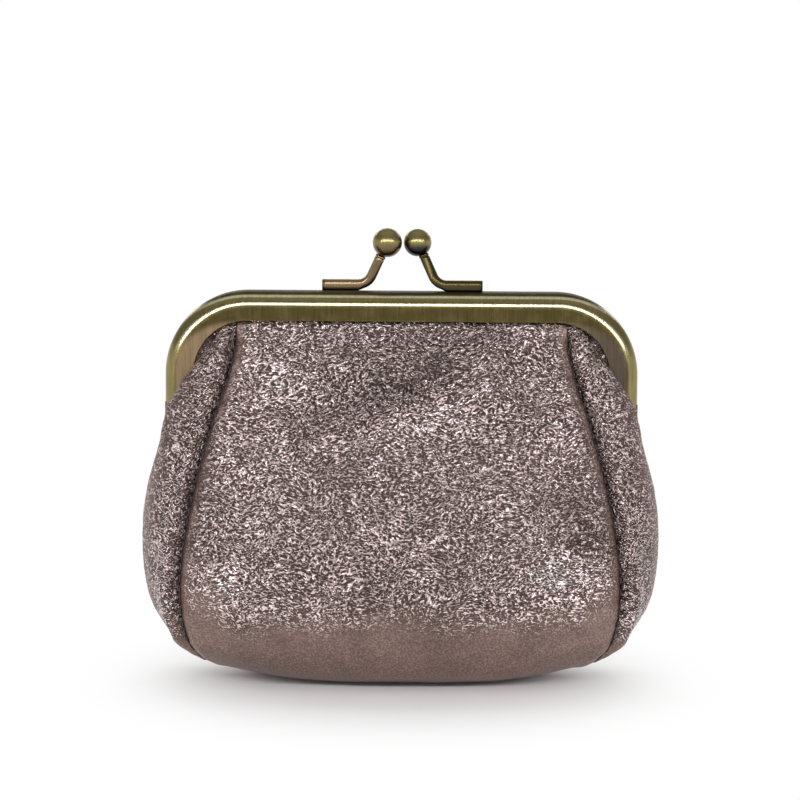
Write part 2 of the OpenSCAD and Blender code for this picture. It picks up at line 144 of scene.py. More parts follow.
class PurseColours(bpy.types.PropertyGroup):
    """Colours of the finishes"""

    foil_dark: colour_property(
        "Foil in the creases", "Leather where the foil is folded or worn", (0.045, 0.030, 0.027))
    foil_base: colour_property(
        "Foil", "Crinkled leather between its bright strokes", (0.074, 0.046, 0.040))
    foil_satin: colour_property(
        "Satin foil", "Smooth leather at the bottom and beside the seams", (0.195, 0.130, 0.114))
    foil_mid: colour_property("Satin specks", "Fine specks on the smooth leather", (0.330, 0.232, 0.205))
    # Colour of the bright strokes: partly the foil's pale ridges, partly painted glints
    foil_ridges_and_glints: colour_property(
        "Foil on the ridges", "Leather where the foil is bright", (0.88, 0.72, 0.70))
    # Painted light: the brighter brass of the frame's dome and of the balls' upper sides
    brass_lit: colour_property(
        "Brass on the dome", "Brass where it is rubbed bright", (0.27, 0.225, 0.095))
    # Painted highlight along the crest and the rim of the frame's dome
    brass_painted_highlight: colour_property(
        "Worn brass", "Brass where the crest of the dome is rubbed through", (0.70, 0.65, 0.42))
    # Antiqued brass darkened as painted shade: the frame's flat front and top, and the front clasp arm
    brass_antique_and_shade: colour_property(
        "Antiqued brass", "Brass where the antique finish is left", (0.074, 0.058, 0.021))
    brass_tan: colour_property("Tan brass", "Brass at the lacquered inner edge", (0.24, 0.168, 0.098))
    # Painted shade: the front ball's and front arm's undersides, and the frame's right arm
    brass_grey_shade: colour_property(
        "Grey brass", "Brass with a blackened antique finish", (0.045, 0.040, 0.036))
    # Painted shade: the undersides of the rear ball, the rear arm and the rivets
    brass_umber_shade: colour_property("Umber brass", "Brass with a brown antique finish", (0.165, 0.120, 0.065))
    lining: colour_property("Lining", "Lining cloth", (0.030, 0.022, 0.024))
    thread: colour_property("Thread", "Seam thread", (0.030, 0.020, 0.018))
    paper: colour_property("Paper cord", "Paper cord in the channel", (0.48, 0.36, 0.22))
    floor: colour_property("Floor", "Floor and backdrop", (0.86, 0.86, 0.86))


def sizes():
    return bpy.context.scene.purse_sizes


def colours():
    return bpy.context.scene.purse_colours


# Smooth noise and curves on arrays of points

LOW_BITS = 0x7FFFFFFF


def lattice_value(cell, salt):
    """A repeatable value from -1 to 1 for each whole-numbered cell"""
    n = cell[..., 0] * 374761393 + cell[..., 1] * 668265263 + cell[..., 2] * 1442695041 + salt * 97531
    n &= LOW_BITS
    n = ((n ^ (n >> 13)) * 1274126177) & LOW_BITS
    n = ((n ^ (n >> 15)) * 2246822519) & LOW_BITS
    return (n & 0xFFFFF) / 0x80000 - 1.0


def noise(points, salt=0):
    """Smooth gradient noise, about -1 to 1, at points of shape (..., 3)"""
    cell = np.floor(points).astype(np.int64)
    part = points - cell
    fade = part ** 3 * (part * (part * 6 - 15) + 10)
    total = np.zeros(points.shape[:-1])
    for corner in np.ndindex(2, 2, 2):
        at = cell + corner
        away = part - corner
        slope = sum(lattice_value(at, salt * 3 + axis) * away[..., axis] for axis in range(3))
        weight = np.ones_like(total)
        for axis in range(3):
            weight = weight * (fade[..., axis] if corner[axis] else 1 - fade[..., axis])
        total += weight * slope
    return total * 1.4


def smoothstep(low, high, x):
    """0 at low, 1 at high and smooth in between"""
    t = np.clip((x - low) / (high - low), 0, 1)
    return t * t * (3 - 2 * t)


def lerp(a, b, t):
    return a + (b - a) * t


def bell(x, wide):
    """1 at zero, falling away on both sides"""
    return np.exp(-(x / wide) ** 2)


def curve_at(rows, places):
    """Catmull-Rom curve through rows[0], rows[1], ... at fractional row places"""
    rows = np.asarray(rows, float)
    places = np.clip(np.asarray(places, float), 0, len(rows) - 1)
    i = np.minimum(places.astype(int), len(rows) - 2)
    t = (places - i).reshape(-1, *([1] * (rows.ndim - 1)))
    a, b = rows[np.maximum(i - 1, 0)], rows[i]
    c, d = rows[i + 1], rows[np.minimum(i + 2, len(rows) - 1)]
    return 0.5 * (2 * b + (c - a) * t + (2 * a - 5 * b + 4 * c - d) * t ** 2
                  + (3 * b - a - 3 * c + d) * t ** 3)


def even_places(rows, step):
    """Fractional places along a net's rows that lie about step apart"""
    lengths = np.linalg.norm(np.diff(rows, axis=0), axis=-1).max(axis=1)
    along = np.concatenate([[0], np.cumsum(lengths)])
    count = max(2, int(round(along[-1] / step)) + 1)
    return np.interp(np.linspace(0, along[-1], count), along, np.arange(len(rows)))


def above_floor(grid):
    grid = grid.copy()
    grid[..., 2] = np.maximum(grid[..., 2], 0)
    return grid


def from_column(grid, column):
    """Distance of each point from its row's point in a column"""
    return np.linalg.norm(grid - grid[:, column][:, None], axis=-1)


def normals_of(grid):
    """Unit normals of a grid of points, outwards for rows that run down and columns that run right"""
    down = np.gradient(grid, axis=0)
    along = np.gradient(grid, axis=1)
    n = np.cross(down, along)
    return n / np.maximum(np.linalg.norm(n, axis=-1, keepdims=True), 1e-12)


# The pouch's control nets in millimetres: the front half, and of the gusset the right one


def on_path(s, r):
    """A point on the channel's path: s from the top's middle, r from the corner's centre"""
    turn = max(0.0, abs(s) - CENTRE_X) / INNER_R
    x = min(abs(s), CENTRE_X) + r * math.sin(turn)
    return math.copysign(x, s), CENTRE_Z + r * math.cos(turn)


def inside_x(z, r):
    """Half width inside the channel at height z"""
    return CENTRE_X + (math.sqrt(max(0.0, r * r - (z - CENTRE_Z) ** 2)) if z > CENTRE_Z else r)


def station_points(s):
    """A station's middle, seam and side points, and the half width of its fold"""
    half = FRAME_W / 2
    middle = np.array([0, s[0], s[1]])
    seam = np.array([half - s[2], s[3], s[4]])
    side = np.array([half - s[5], s[6], s[7]])
    return middle, seam, side, half - s[8]


# Radius and depth of the leather's rows from deep in the channel to just outside its lip
LIP_PATH = [(SLOT_DEEP_R, LEATHER_D), (INNER_R + 0.1, LEATHER_D),
            (INNER_R - LIP_GAP, FACE_D - 0.5), (INNER_R - LIP_GAP - 0.25, FACE_D + 0.75)]


def panel_net():
    """Right half of the panel's front: rows from the channel down to the keel"""
    edge_s = CENTRE_X + INNER_R * PANEL_EDGE_TURN

    def path_row(r, d):
        points = [on_path(u * edge_s, r) for u in PANEL_SPREAD]
        return [[x, -d, z] for x, z in points]

    net = [path_row(r, d) for r, d in LIP_PATH]
    for s in STATIONS:
        middle, seam, _, _ = station_points(s)
        seam = seam - [SEAM_GAP / 2, 0, 0]
        net.append([[u * seam[0], lerp(middle[1], seam[1], u ** 2.6),
                     lerp(middle[2], seam[2], (max(0, u - 0.3) / 0.7) ** 1.8)] for u in PANEL_SPREAD])
    return np.array(net)


def gusset_row(i):
    """The gusset's row at a station: seam, puff, side, then in to the fold or into the channel"""
    _, seam, side, fold = station_points(STATIONS[i])
    seam = seam + [SEAM_GAP / 2, 0, 0]
    puff = lerp(seam, side, 0.42) + 0.25 * np.linalg.norm(side - seam) * np.array([0.6, -0.8, 0])
    if i >= CLOSED:
        rest = [[lerp(side[0], fold, math.sin(math.pi / 2 * t) ** 2), side[1] * (1 - t), side[2]]
                for t in (0.35, 0.62, 0.82, 0.95, 1)]
        return [seam, puff, side, *rest]
    x, z = inside_x(side[2], INNER_R), side[2]
    pull = 1 if i > GRIPPED else 0
    lip = [x + lerp(2, 0.1, pull), lerp(-LEATHER_D, -LEATHER_D + 1, pull), z + 0.2]
    return [seam, puff, side,
            [lerp(x, side[0], 0.45), -FACE_D - 1.1, z],
            [x - LIP_GAP - 0.1, -FACE_D - 0.5, z],
            [x - LIP_GAP - 0.2, -LEATHER_D - 0.2, z + 0.1],
            lip, [lip[0] + 0.2, lip[1], lip[2]]]


# Share of the corner's turn, least radius and greatest depth of the gusset's columns at the lip
GUSSET_LIP = [(0, -2, 1), (0.4, -2, 1), (0.75, -2, 1), (0.88, -0.7, 0.7), (0.93, -0.45, 0.4),
              (0.97, -0.45, -0.7), (1, 1.7, -0.95), (1, 1.9, -0.95)]
# Each row of the lip lies this much further out of the channel than the one before
LIP_SHIFT = 0.2


def gusset_lip_row(i):
    """A row in the channel round the corner, from the panel's edge to where the gusset leaves the arm"""
    start = PANEL_EDGE_TURN + SEAM_GAP / INNER_R
    row = []
    for share, more_r, less_d in GUSSET_LIP:
        turn = lerp(start, GUSSET_TOP_TURN, share)
        at_r = max(LIP_PATH[i][0], INNER_R + more_r - LIP_SHIFT * i)
        at_d = min(LIP_PATH[i][1], FACE_D + less_d)
        row.append([CENTRE_X + at_r * math.sin(turn), -at_d, CENTRE_Z + at_r * math.cos(turn)])
    return row


def gusset_net():
    """Front half of the right gusset: each row runs from the seam round the side"""
    lip = [gusset_lip_row(i) for i in range(len(LIP_PATH))]
    return np.array(lip + [gusset_row(i) for i in range(GUSSET_END + 1)])


def panel_grid(step):
    """Fine grid of the panel's whole front, left to right, and its signed share of the half width"""
    right = panel_net()
    left = right[:, :0:-1] * [-1, 1, 1]
    net = np.concatenate([left, right], axis=1)
    middle = len(PANEL_SPREAD) - 1
    fine_rows = curve_at(net, even_places(net[:, middle:middle + 1], step))
    share = np.linspace(-1, 1, round(PANEL_W / step) + 1)
    column = middle + np.sign(share) * np.interp(np.abs(share), PANEL_SPREAD, range(middle + 1))
    grid = curve_at(fine_rows.transpose(1, 0, 2), column).transpose(1, 0, 2)
    return above_floor(grid), share


def gusset_grid(step):
    """Fine grid of the right gusset's front half"""
    net = gusset_net()
    fine_rows = curve_at(net, even_places(net[:, 1:4], step))
    columns = fine_rows.transpose(1, 0, 2)
    return curve_at(columns, even_places(columns, step)).transpose(1, 0, 2)


# The leather's surface


def crinkled(points, lively):
    """Crinkles of the foil, in shares of their height"""
    bend = np.stack([noise(points / 6.0, 11 + axis) for axis in range(3)], axis=-1)
    where = points * [1.0, 1.0, 1.9] + 2.2 * bend
    patch = 0.75 + 0.25 * noise(points / 9.0, 31)
    return lively * patch * (noise(where / 1.5, 1) + 0.7 * noise(where / 0.9, 2))


# Places on the panel with painted sheen, brighter, and painted shade, duller: x, z, half width, half height
# and gain
PAINTED_SHEEN = [
    (-39, 24, 7, 6, 0.45), (37, 25, 9, 5, 0.45), (-28, 66, 9, 10, 0.30), (30, 46, 8, 12, 0.15),
    (-4, 72, 18, 4, -0.15), (38, 33, 5, 4, -0.20), (-40, 34, 5, 4, -0.20),
]


# The slanting fold under the frame: height of its middle, and cosine and sine of its slope
FOLD_Z = 64
FOLD_COS = 0.94
FOLD_SIN = 0.34
# Its hollow and the swells beside it: height, place along and across the fold, half width and half height
FOLD_FORM = [(-0.75, -1, -0.5, 9.0, 2.2), (0.70, 1, 4, 10.0, 2.6), (0.50, 3, -5, 9.0, 2.8)]
# Rolls and grooves beside a seam: height, distance from the seam and width
PANEL_HEM = [(0.35, 2.6, 1.5), (-0.60, 0, 0.8)]
GUSSET_ROLL = [(1.3, 2.4, 1.5), (-0.45, 6.0, 1.6)]
GUSSET_GROOVE = [(-0.60, 0, 0.7)]


def fold_ways(grid):
    """Distances along and across the fold"""
    x, z = grid[..., 0], grid[..., 2] - FOLD_Z
    return FOLD_COS * x + FOLD_SIN * z, FOLD_COS * z - FOLD_SIN * x


def bump_at(a, b, wide, high):
    return np.exp(-(a / wide) ** 2 - (b / high) ** 2)


def rolls(form, from_seam):
    return sum(height * bell(from_seam - place, wide) for height, place, wide in form)


def panel_from_seam(grid, share):
    """Distance of each of the panel's points from the nearer seam"""
    return (1 - np.abs(share))[None, :] * np.abs(grid[:, -1:, 0])


def panel_tone_and_painted_light(grid):
    """How bright the panel's foil is, about 1: random tone, painted sheen and painted shade along the fold"""
    sheen = 1 + 0.20 * noise(grid / 13.0, 51) + 0.12 * noise(grid / 5.0, 52)
    for x, z, wide, high, gain in PAINTED_SHEEN:
        sheen = sheen + gain * bump_at(grid[..., 0] - x, grid[..., 2] - z, wide, high)
    # Painted shade along the slanting fold, and painted sheen on its lower side
    along, across = fold_ways(grid)
    sheen -= 0.50 * bump_at(along + 4, across - 0.5 + 0.8 * noise(grid / 6.0, 53), 15, 4.0)
    return sheen + 0.30 * bump_at(along - 4, across + 8, 11, 4.5)


def panel_lively(grid, share):
    """How crinkled the panel is: 0 on the satin bottom and beside the seams, 1 elsewhere"""
    z = grid[..., 2]
    from_seam = panel_from_seam(grid, share)
    edge = z + 3.0 * noise(grid / 9.0, 41) + 1.5 * noise(grid / 3.5, 42)
    low = smoothstep(8.5, 23.0, edge - 3.0 * (1 - smoothstep(3.0, 12.0, from_seam)))
    beside = smoothstep(0.6, 3.2, from_seam + 0.8 * noise(grid / 4.0, 43))
    return low * (0.15 + 0.85 * beside)


def panel_swells(grid, share):
    """Broad dents, the crease under the frame and the puckers along the seams, in millimetres"""
    x, z = grid[..., 0], grid[..., 2]
    from_seam = panel_from_seam(grid, share)
    swell = 0.40 * noise(grid / 15.0, 3) + 0.20 * noise(grid / 7.0, 4)
    along, across = fold_ways(grid)
    crease = sum(height * bump_at(along - a, across - b, *spread) for height, a, b, *spread in FOLD_FORM)
    way = np.sign(x)
    fan = np.stack([from_seam / 7.0, z / 2.6 + 0.10 * from_seam * way, np.zeros_like(z) + 5 * way], axis=-1)
    pucker = 0.55 * noise(fan, 6) * np.exp(-from_seam / 5.5) * smoothstep(0, 1.2, from_seam)
    free = smoothstep(0, 5, 75.5 - z) * smoothstep(0.0, 5.0, z) * smoothstep(0, 2.5, from_seam)
    hem = rolls(PANEL_HEM, from_seam) * smoothstep(76, 73, z)
    return (swell + crease) * free + pucker * smoothstep(76, 72, z) + hem


def gusset_lively(grid):
    """How crinkled a gusset is: less at its foot and round the side"""
    z = grid[..., 2]
    from_seam = from_column(grid, 0)
    edge = z + 2.0 * noise(grid / 7.0, 44)
    return smoothstep(7.0, 17.0, edge) * (1 - 0.45 * smoothstep(5.0, 9.0, from_seam))


def gusset_sheen(grid):
    """How bright a gusset's foil is, about 1"""
    return 1 + 0.22 * noise(grid / 9.0, 54) + 0.14 * noise(grid / 3.5, 55)


def gusset_swells(grid):
    """The same on a gusset: swells, the roll beside the seam and short puckers across it"""
    z = grid[..., 2]
    from_seam = from_column(grid, 0)
    fan = np.stack([from_seam / 6.0, z / 2.2 + 0.25 * from_seam, grid[..., 1] / 12.0], axis=-1)
    pucker = 0.50 * noise(fan, 8) * np.exp(-from_seam / 6.0) * smoothstep(0, 1.0, from_seam)
    swell = 0.35 * noise(grid / 11.0, 9) * smoothstep(1, 5, from_seam) * smoothstep(2, 6, -grid[..., 1])
    roll = rolls(GUSSET_ROLL, from_seam) * smoothstep(5, 22, z)
    free = smoothstep(76, 73, z) * smoothstep(3, 8, z)
    return (swell + pucker + roll) * free + rolls(GUSSET_GROOVE, from_seam) * smoothstep(3, 10, z)


def new_mesh(name, points, faces):
    mesh = bpy.data.meshes.new(name)
    mesh.from_pydata(points, [], faces)
    mesh.update()
    return mesh


def sheet_mesh(name, outer, inner, turn, stride=3, marks=None):
    """A closed sheet: a fine outer grid with its marks, a coarser inner one and a wall round the edge.
    The grids of the front right are turned to their side by signs of x and y."""
    facing = turn[0] * turn[1]
    nr, nc = outer.shape[:2]
    rows = sorted(set(range(0, nr - 1, stride)) | {nr - 1})
    cols = sorted(set(range(0, nc - 1, stride)) | {nc - 1})
    coarse = inner[np.ix_(rows, cols)]
    points = np.concatenate([outer.reshape(-1, 3), coarse.reshape(-1, 3)]) * turn * MM
    fine_at = np.arange(nr * nc).reshape(nr, nc)
    coarse_at = nr * nc + np.arange(len(rows) * len(cols)).reshape(len(rows), len(cols))

    def quads(at, way):
        loop = [at[:-1, :-1], at[:-1, 1:], at[1:, 1:], at[1:, :-1]]
        return np.stack(loop[::way], axis=-1).reshape(-1, 4).tolist()

    faces = quads(fine_at, -facing) + quads(coarse_at, facing)
    for fine_line, coarse_line, places, way in (
        (fine_at[0], coarse_at[0], cols, 1), (fine_at[-1], coarse_at[-1], cols, -1),
        (fine_at[:, 0], coarse_at[:, 0], rows, -1), (fine_at[:, -1], coarse_at[:, -1], rows, 1),
    ):
        for k in range(len(places) - 1):
            edge = list(fine_line[places[k]:places[k + 1] + 1]) + [coarse_line[k + 1], coarse_line[k]]
            faces.append([int(v) for v in edge[::way * facing]])
    mesh = new_mesh(name, points.tolist(), faces)
    for mark, values in (marks or {}).items():
        values = np.concatenate([values.ravel(), values[np.ix_(rows, cols)].ravel()])
        mesh.attributes.new(mark, "FLOAT", "POINT").data.foreach_set("value", values)
    return mesh


def add_piece(mesh, material):
    """A smooth-shaded object in the scene for a finished mesh"""
    piece = bpy.data.objects.new(mesh.name, mesh)
    bpy.context.scene.collection.objects.link(piece)
    mesh.polygons.foreach_set("use_smooth", [True] * len(mesh.polygons))
    mesh.materials.append(material)
    return piece


def follow_half(piece):
    """The piece's place is baked into its mesh"""
    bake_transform(piece)


def add_sheet(mesh, material, node):
    """A sheet in place of a CAD node's, which is hidden"""
    piece = add_piece(mesh, material)
    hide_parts(node)
    follow_half(piece)


# Distances in millimetres up to which an edge counts as sewn, fully and partly
SEWN = (1.0, 3.0)
# Width in millimetres over which the sheets turn to the direction that they share at a seam
SEAM_TURN_W = 2.5


def halfway(edge, facing, other_edge, other_facing):
    """An edge's normals, turned halfway to those of the edge sewn to it"""
    gaps = np.linalg.norm(edge[:, None] - other_edge[None], axis=-1)
    sewn = 1 - smoothstep(*SEWN, gaps.min(axis=1))
    return facing + sewn[:, None] * other_facing[gaps.argmin(axis=1)]


def sewn_normals(panel, gusset):
    """Unit normals of both grids, the same on both sides of the seam"""
    of_panel, of_gusset = normals_of(panel), normals_of(gusset)
    right = halfway(panel[:, -1], of_panel[:, -1], gusset[:, 0], of_gusset[:, 0])
    seam = halfway(gusset[:, 0], of_gusset[:, 0], panel[:, -1], of_panel[:, -1])
    for grid, normals, column, edge in (
        (panel, of_panel, -1, right), (panel, of_panel, 0, right * [-1, 1, 1]), (gusset, of_gusset, 0, seam),
    ):
        edge = edge / np.linalg.norm(edge, axis=-1, keepdims=True)
        near = 1 - smoothstep(0.0, SEAM_TURN_W, from_column(grid, column))
        normals += (edge[:, None] - normals) * near[..., None]
        normals /= np.linalg.norm(normals, axis=-1, keepdims=True)
    return of_panel, of_gusset


def layer(grid, normals, depth):
    """The grid moved inwards by a depth in millimetres: one number, or one for each point"""
    return grid - normals * (np.asarray(depth)[..., None] if np.ndim(depth) else depth)


# Materials

# Radius in metres of the tan band's outer edge on a frame half: at the top, its growth towards the
# arms and the softness of the edge
TAN_START = 0.0110
TAN_GROWTH = 0.0046
TAN_SOFT = 0.0008
# The two painted highlight bands of the dome, along its crest and its rim: where they rise and fall, by how
# far the face looks up, and by how far it looks forward
CREST_HIGHLIGHT_BAND = ((0.13, 0.22), (0.36, 0.26), (0.75, 0.90))
RIM_HIGHLIGHT_BAND = ((0.60, 0.66), (0.80, 0.73), (0.35, 0.50))
# Range of x in metres in which the tan turns to grey on the right arm, as painted shade
SHADED_RIGHT_ARM = (0.030, 0.044)
# Waves of the woven lining in each metre
THREADS_PER_M = 520.0


def add_node(tree, kind, inputs=None, **settings):
    """A shader node whose inputs are sockets or plain values, by name or number"""
    made = tree.nodes.new(kind)
    for key, value in settings.items():
        setattr(made, key, value)
    for key, value in (inputs or {}).items():
        if isinstance(value, bpy.types.NodeSocket):
            tree.links.new(value, made.inputs[key])
        else:
            made.inputs[key].default_value = value
    return made


def calc(tree, operation, a, b=0.0, c=0.0, clamp=False):
    inputs = {0: a, 1: b, 2: c} if operation == "MULTIPLY_ADD" else {0: a, 1: b}
    return add_node(tree, "ShaderNodeMath", inputs, operation=operation, use_clamp=clamp).outputs[0]


def remap(tree, value, low, high, to_low=0.0, to_high=1.0, kind="SMOOTHSTEP"):
    inputs = {"Value": value, "From Min": low, "From Max": high, "To Min": to_low, "To Max": to_high}
    return add_node(tree, "ShaderNodeMapRange", inputs, interpolation_type=kind).outputs[0]


def times(tree, a, b):
    return calc(tree, "MULTIPLY", a, b)


def vector_calc(tree, operation, a, b=(0.0, 0.0, 0.0)):
    made = add_node(tree, "ShaderNodeVectorMath", {0: a, 1: b}, operation=operation)
    return made.outputs["Value" if operation in ("LENGTH", "DOT_PRODUCT") else 0]


def parts_of(tree, vector):
    """A vector's x, y and z"""
    return add_node(tree, "ShaderNodeSeparateXYZ", {0: vector}).outputs


def mark(tree, name):
    """A value that the mesh keeps for each point"""
    return add_node(tree, "ShaderNodeAttribute", attribute_name=name).outputs["Fac"]


def blend_colours(tree, share, a, b, mode="MIX"):
    def full(c):
        return c if isinstance(c, bpy.types.NodeSocket) else (*c, 1.0)

    mix = add_node(tree, "ShaderNodeMix", {"Factor": share}, data_type="RGBA", blend_type=mode)
    for socket, colour in ((mix.inputs[6], full(a)), (mix.inputs[7], full(b))):
        if isinstance(colour, bpy.types.NodeSocket):
            tree.links.new(colour, socket)
        else:
            socket.default_value = colour
    return mix.outputs[2]


def shaded(tree, share, colour, value):
    """The colour, a share of it times the value"""
    grey = add_node(tree, "ShaderNodeCombineColor", {0: value, 1: value, 2: value}).outputs[0]
    return blend_colours(tree, share, colour, grey, mode="MULTIPLY")


def speckle(tree, place, scale, detail=1.0, roughness=0.5, output=0):
    inputs = {"Vector": place, "Scale": scale, "Detail": detail, "Roughness": roughness}
    return add_node(tree, "ShaderNodeTexNoise", inputs).outputs[output]


def add_bump(tree, shader, height, distance, strength):
    bump = add_node(tree, "ShaderNodeBump", {"Height": height, "Distance": distance, "Strength": strength})
    tree.links.new(bump.outputs[0], shader.inputs["Normal"])


def new_group(name, inputs, outputs):
    """An empty shader node group with its inputs, outputs and their end nodes"""
    tree = bpy.data.node_groups.new(name, "ShaderNodeTree")
    for label, kind, value in inputs:
        socket = tree.interface.new_socket(label, in_out="INPUT", socket_type=kind)
        if value is not None:
            socket.default_value = value
    for label, kind in outputs:
        tree.interface.new_socket(label, in_out="OUTPUT", socket_type=kind)
    return tree, tree.nodes.new("NodeGroupInput").outputs, tree.nodes.new("NodeGroupOutput").inputs


def use_group(tree, group, **inputs):
    return add_node(tree, "ShaderNodeGroup", inputs, node_tree=group).outputs


def crinkle_group():
    """Crinkled foil: short strokes, dark pits between them and slow changes from place to place"""
    name = "Foil crinkle"
    if name in bpy.data.node_groups:
        return bpy.data.node_groups[name]
    tree, given, result = new_group(
        name,
        [("Place", "NodeSocketVector", None), ("Scale", "NodeSocketFloat", 620.0),
         ("Lively", "NodeSocketFloat", 1.0)],
        [("Height", "NodeSocketFloat"), ("Glint", "NodeSocketFloat"), ("Pit", "NodeSocketFloat"),
         ("Patch", "NodeSocketFloat")])
    place = given["Place"]
    for scale, reach in ((110.0, 0.0045), (600.0, 0.0009)):
        drift = speckle(tree, place, scale, detail=0.5, output="Color")
        drift = vector_calc(tree, "SUBTRACT", drift, (0.5, 0.5, 0.5))
        drift = vector_calc(tree, "MULTIPLY", drift, (reach, reach, reach))
        place = vector_calc(tree, "ADD", place, drift)
    place = vector_calc(tree, "MULTIPLY", place, (1.0, 1.0, 1.8))
    strokes = []
    for share, aside in ((1.0, 0.0), (1.25, 0.37)):
        shifted = vector_calc(tree, "ADD", place, (aside, aside, aside))
        line = speckle(tree, shifted, times(tree, given["Scale"], share), detail=0.6)
        away = calc(tree, "ABSOLUTE", calc(tree, "SUBTRACT", line, 0.5))
        ridge = calc(tree, "SUBTRACT", 1.0, times(tree, away, 6.2), clamp=True)
        broken = speckle(tree, shifted, times(tree, given["Scale"], 1.7 * share), detail=0.5)
        strokes.append(times(tree, ridge, remap(tree, broken, 0.42, 0.56)))
    fine = speckle(tree, place, times(tree, given["Scale"], 2.3), detail=0.6)
    height = calc(tree, "MAXIMUM", strokes[0], strokes[1])
    tree.links.new(calc(tree, "MULTIPLY_ADD", fine, 0.6, height), result["Height"])
    faded = times(tree, calc(tree, "SUBTRACT", 1.0, given["Lively"]), 0.65)
    tree.links.new(remap(tree, calc(tree, "SUBTRACT", height, faded), 0.32, 0.62), result["Glint"])
    pit = speckle(tree, place, times(tree, given["Scale"], 0.45), detail=0.5)
    tree.links.new(remap(tree, pit, 0.60, 0.72), result["Pit"])
    tree.links.new(speckle(tree, given["Place"], 60.0, detail=3.0, roughness=0.6), result["Patch"])
    return tree


def new_material(name):
    """A material with its tree, its Principled shader and the Object and Normal coordinates"""
    material = bpy.data.materials.new(name)
    material.use_nodes = True
    tree = material.node_tree
    shader = tree.nodes["Principled BSDF"]
    coords = tree.nodes.new("ShaderNodeTexCoord").outputs
    return material, tree, shader, coords


def foil_leather():
    """Crinkled metallic leather, satin at the bottom"""
    name = "crinkled_foil"
    if name in bpy.data.materials:
        return bpy.data.materials[name]
    palette = colours()
    material, tree, shader, coords = new_material(name)
    lively = mark(tree, "lively")
    crinkle = use_group(tree, crinkle_group(), Place=coords["Object"], Scale=900.0, Lively=lively)
    grain = speckle(tree, coords["Object"], 2600.0)
    glint = times(tree, crinkle["Glint"], remap(tree, crinkle["Patch"], 0.30, 0.68, to_low=0.70))
    dark = blend_colours(tree, times(tree, crinkle["Pit"], 0.6), palette.foil_base, palette.foil_dark)
    satin = blend_colours(tree, remap(tree, grain, 0.40, 0.66), palette.foil_satin, palette.foil_mid)
    ground = blend_colours(tree, lively, satin, dark)
    # Bright strokes: partly the foil's pale ridges, partly painted glints in the colour
    foil = blend_colours(tree, glint, ground, palette.foil_ridges_and_glints)
    # The sheen mark multiplies in random tone, painted sheen and painted shade
    tree.links.new(shaded(tree, 1.0, foil, mark(tree, "sheen")), shader.inputs["Base Color"])
    smooth = remap(tree, crinkle["Glint"], 0.0, 1.0, 0.38, 0.26)
    rough = add_node(tree, "ShaderNodeMix", {"Factor": lively, "A": 0.44, "B": smooth}).outputs[0]
    tree.links.new(rough, shader.inputs["Roughness"])
    shader.inputs["Metallic"].default_value = 0.85
    height = calc(tree, "ADD", times(tree, crinkle["Height"], lively), times(tree, grain, 0.05))
    add_bump(tree, shader, height, 0.00028, 1.0)
    return material


def brushed_group():
    """Upright brush lines and cloudy patina of the antiqued metal"""
    name = "Brushed patina"
    if name in bpy.data.node_groups:
        return bpy.data.node_groups[name]
    tree, given, result = new_group(
        name,
        [("Place", "NodeSocketVector", None)],
        [("Brush", "NodeSocketFloat"), ("Patina", "NodeSocketFloat")])
    along = vector_calc(tree, "MULTIPLY", given["Place"], (1.0, 0.6, 0.04))
    tree.links.new(speckle(tree, along, 2600.0, detail=3.0, roughness=0.65), result["Brush"])
    tree.links.new(speckle(tree, given["Place"], 330.0, detail=4.0, roughness=0.6), result["Patina"])
    return tree


def channel_group():
    """Place on the frame: radius from the corner's centre, and turn from 0 on top to 1 on the arms"""
    name = "Channel place"
    if name in bpy.data.node_groups:
        return bpy.data.node_groups[name]
    tree, given, result = new_group(
        name,
        [("Place", "NodeSocketVector", None)],
        [("Radius", "NodeSocketFloat"), ("Turn", "NodeSocketFloat")])
    part = parts_of(tree, given["Place"])
    aside = calc(tree, "SUBTRACT", calc(tree, "ABSOLUTE", part[0]), CENTRE_X * MM)
    aside = calc(tree, "MAXIMUM", aside, 0.0)
    above = calc(tree, "MAXIMUM", calc(tree, "SUBTRACT", part[2], CENTRE_Z * MM), 0.0)
    both = add_node(tree, "ShaderNodeCombineXYZ", {0: aside, 1: above}).outputs[0]
    tree.links.new(vector_calc(tree, "LENGTH", both), result["Radius"])
    turn = calc(tree, "ARCTAN2", aside, above)
    tree.links.new(calc(tree, "DIVIDE", turn, math.pi / 2), result["Turn"])
    return tree


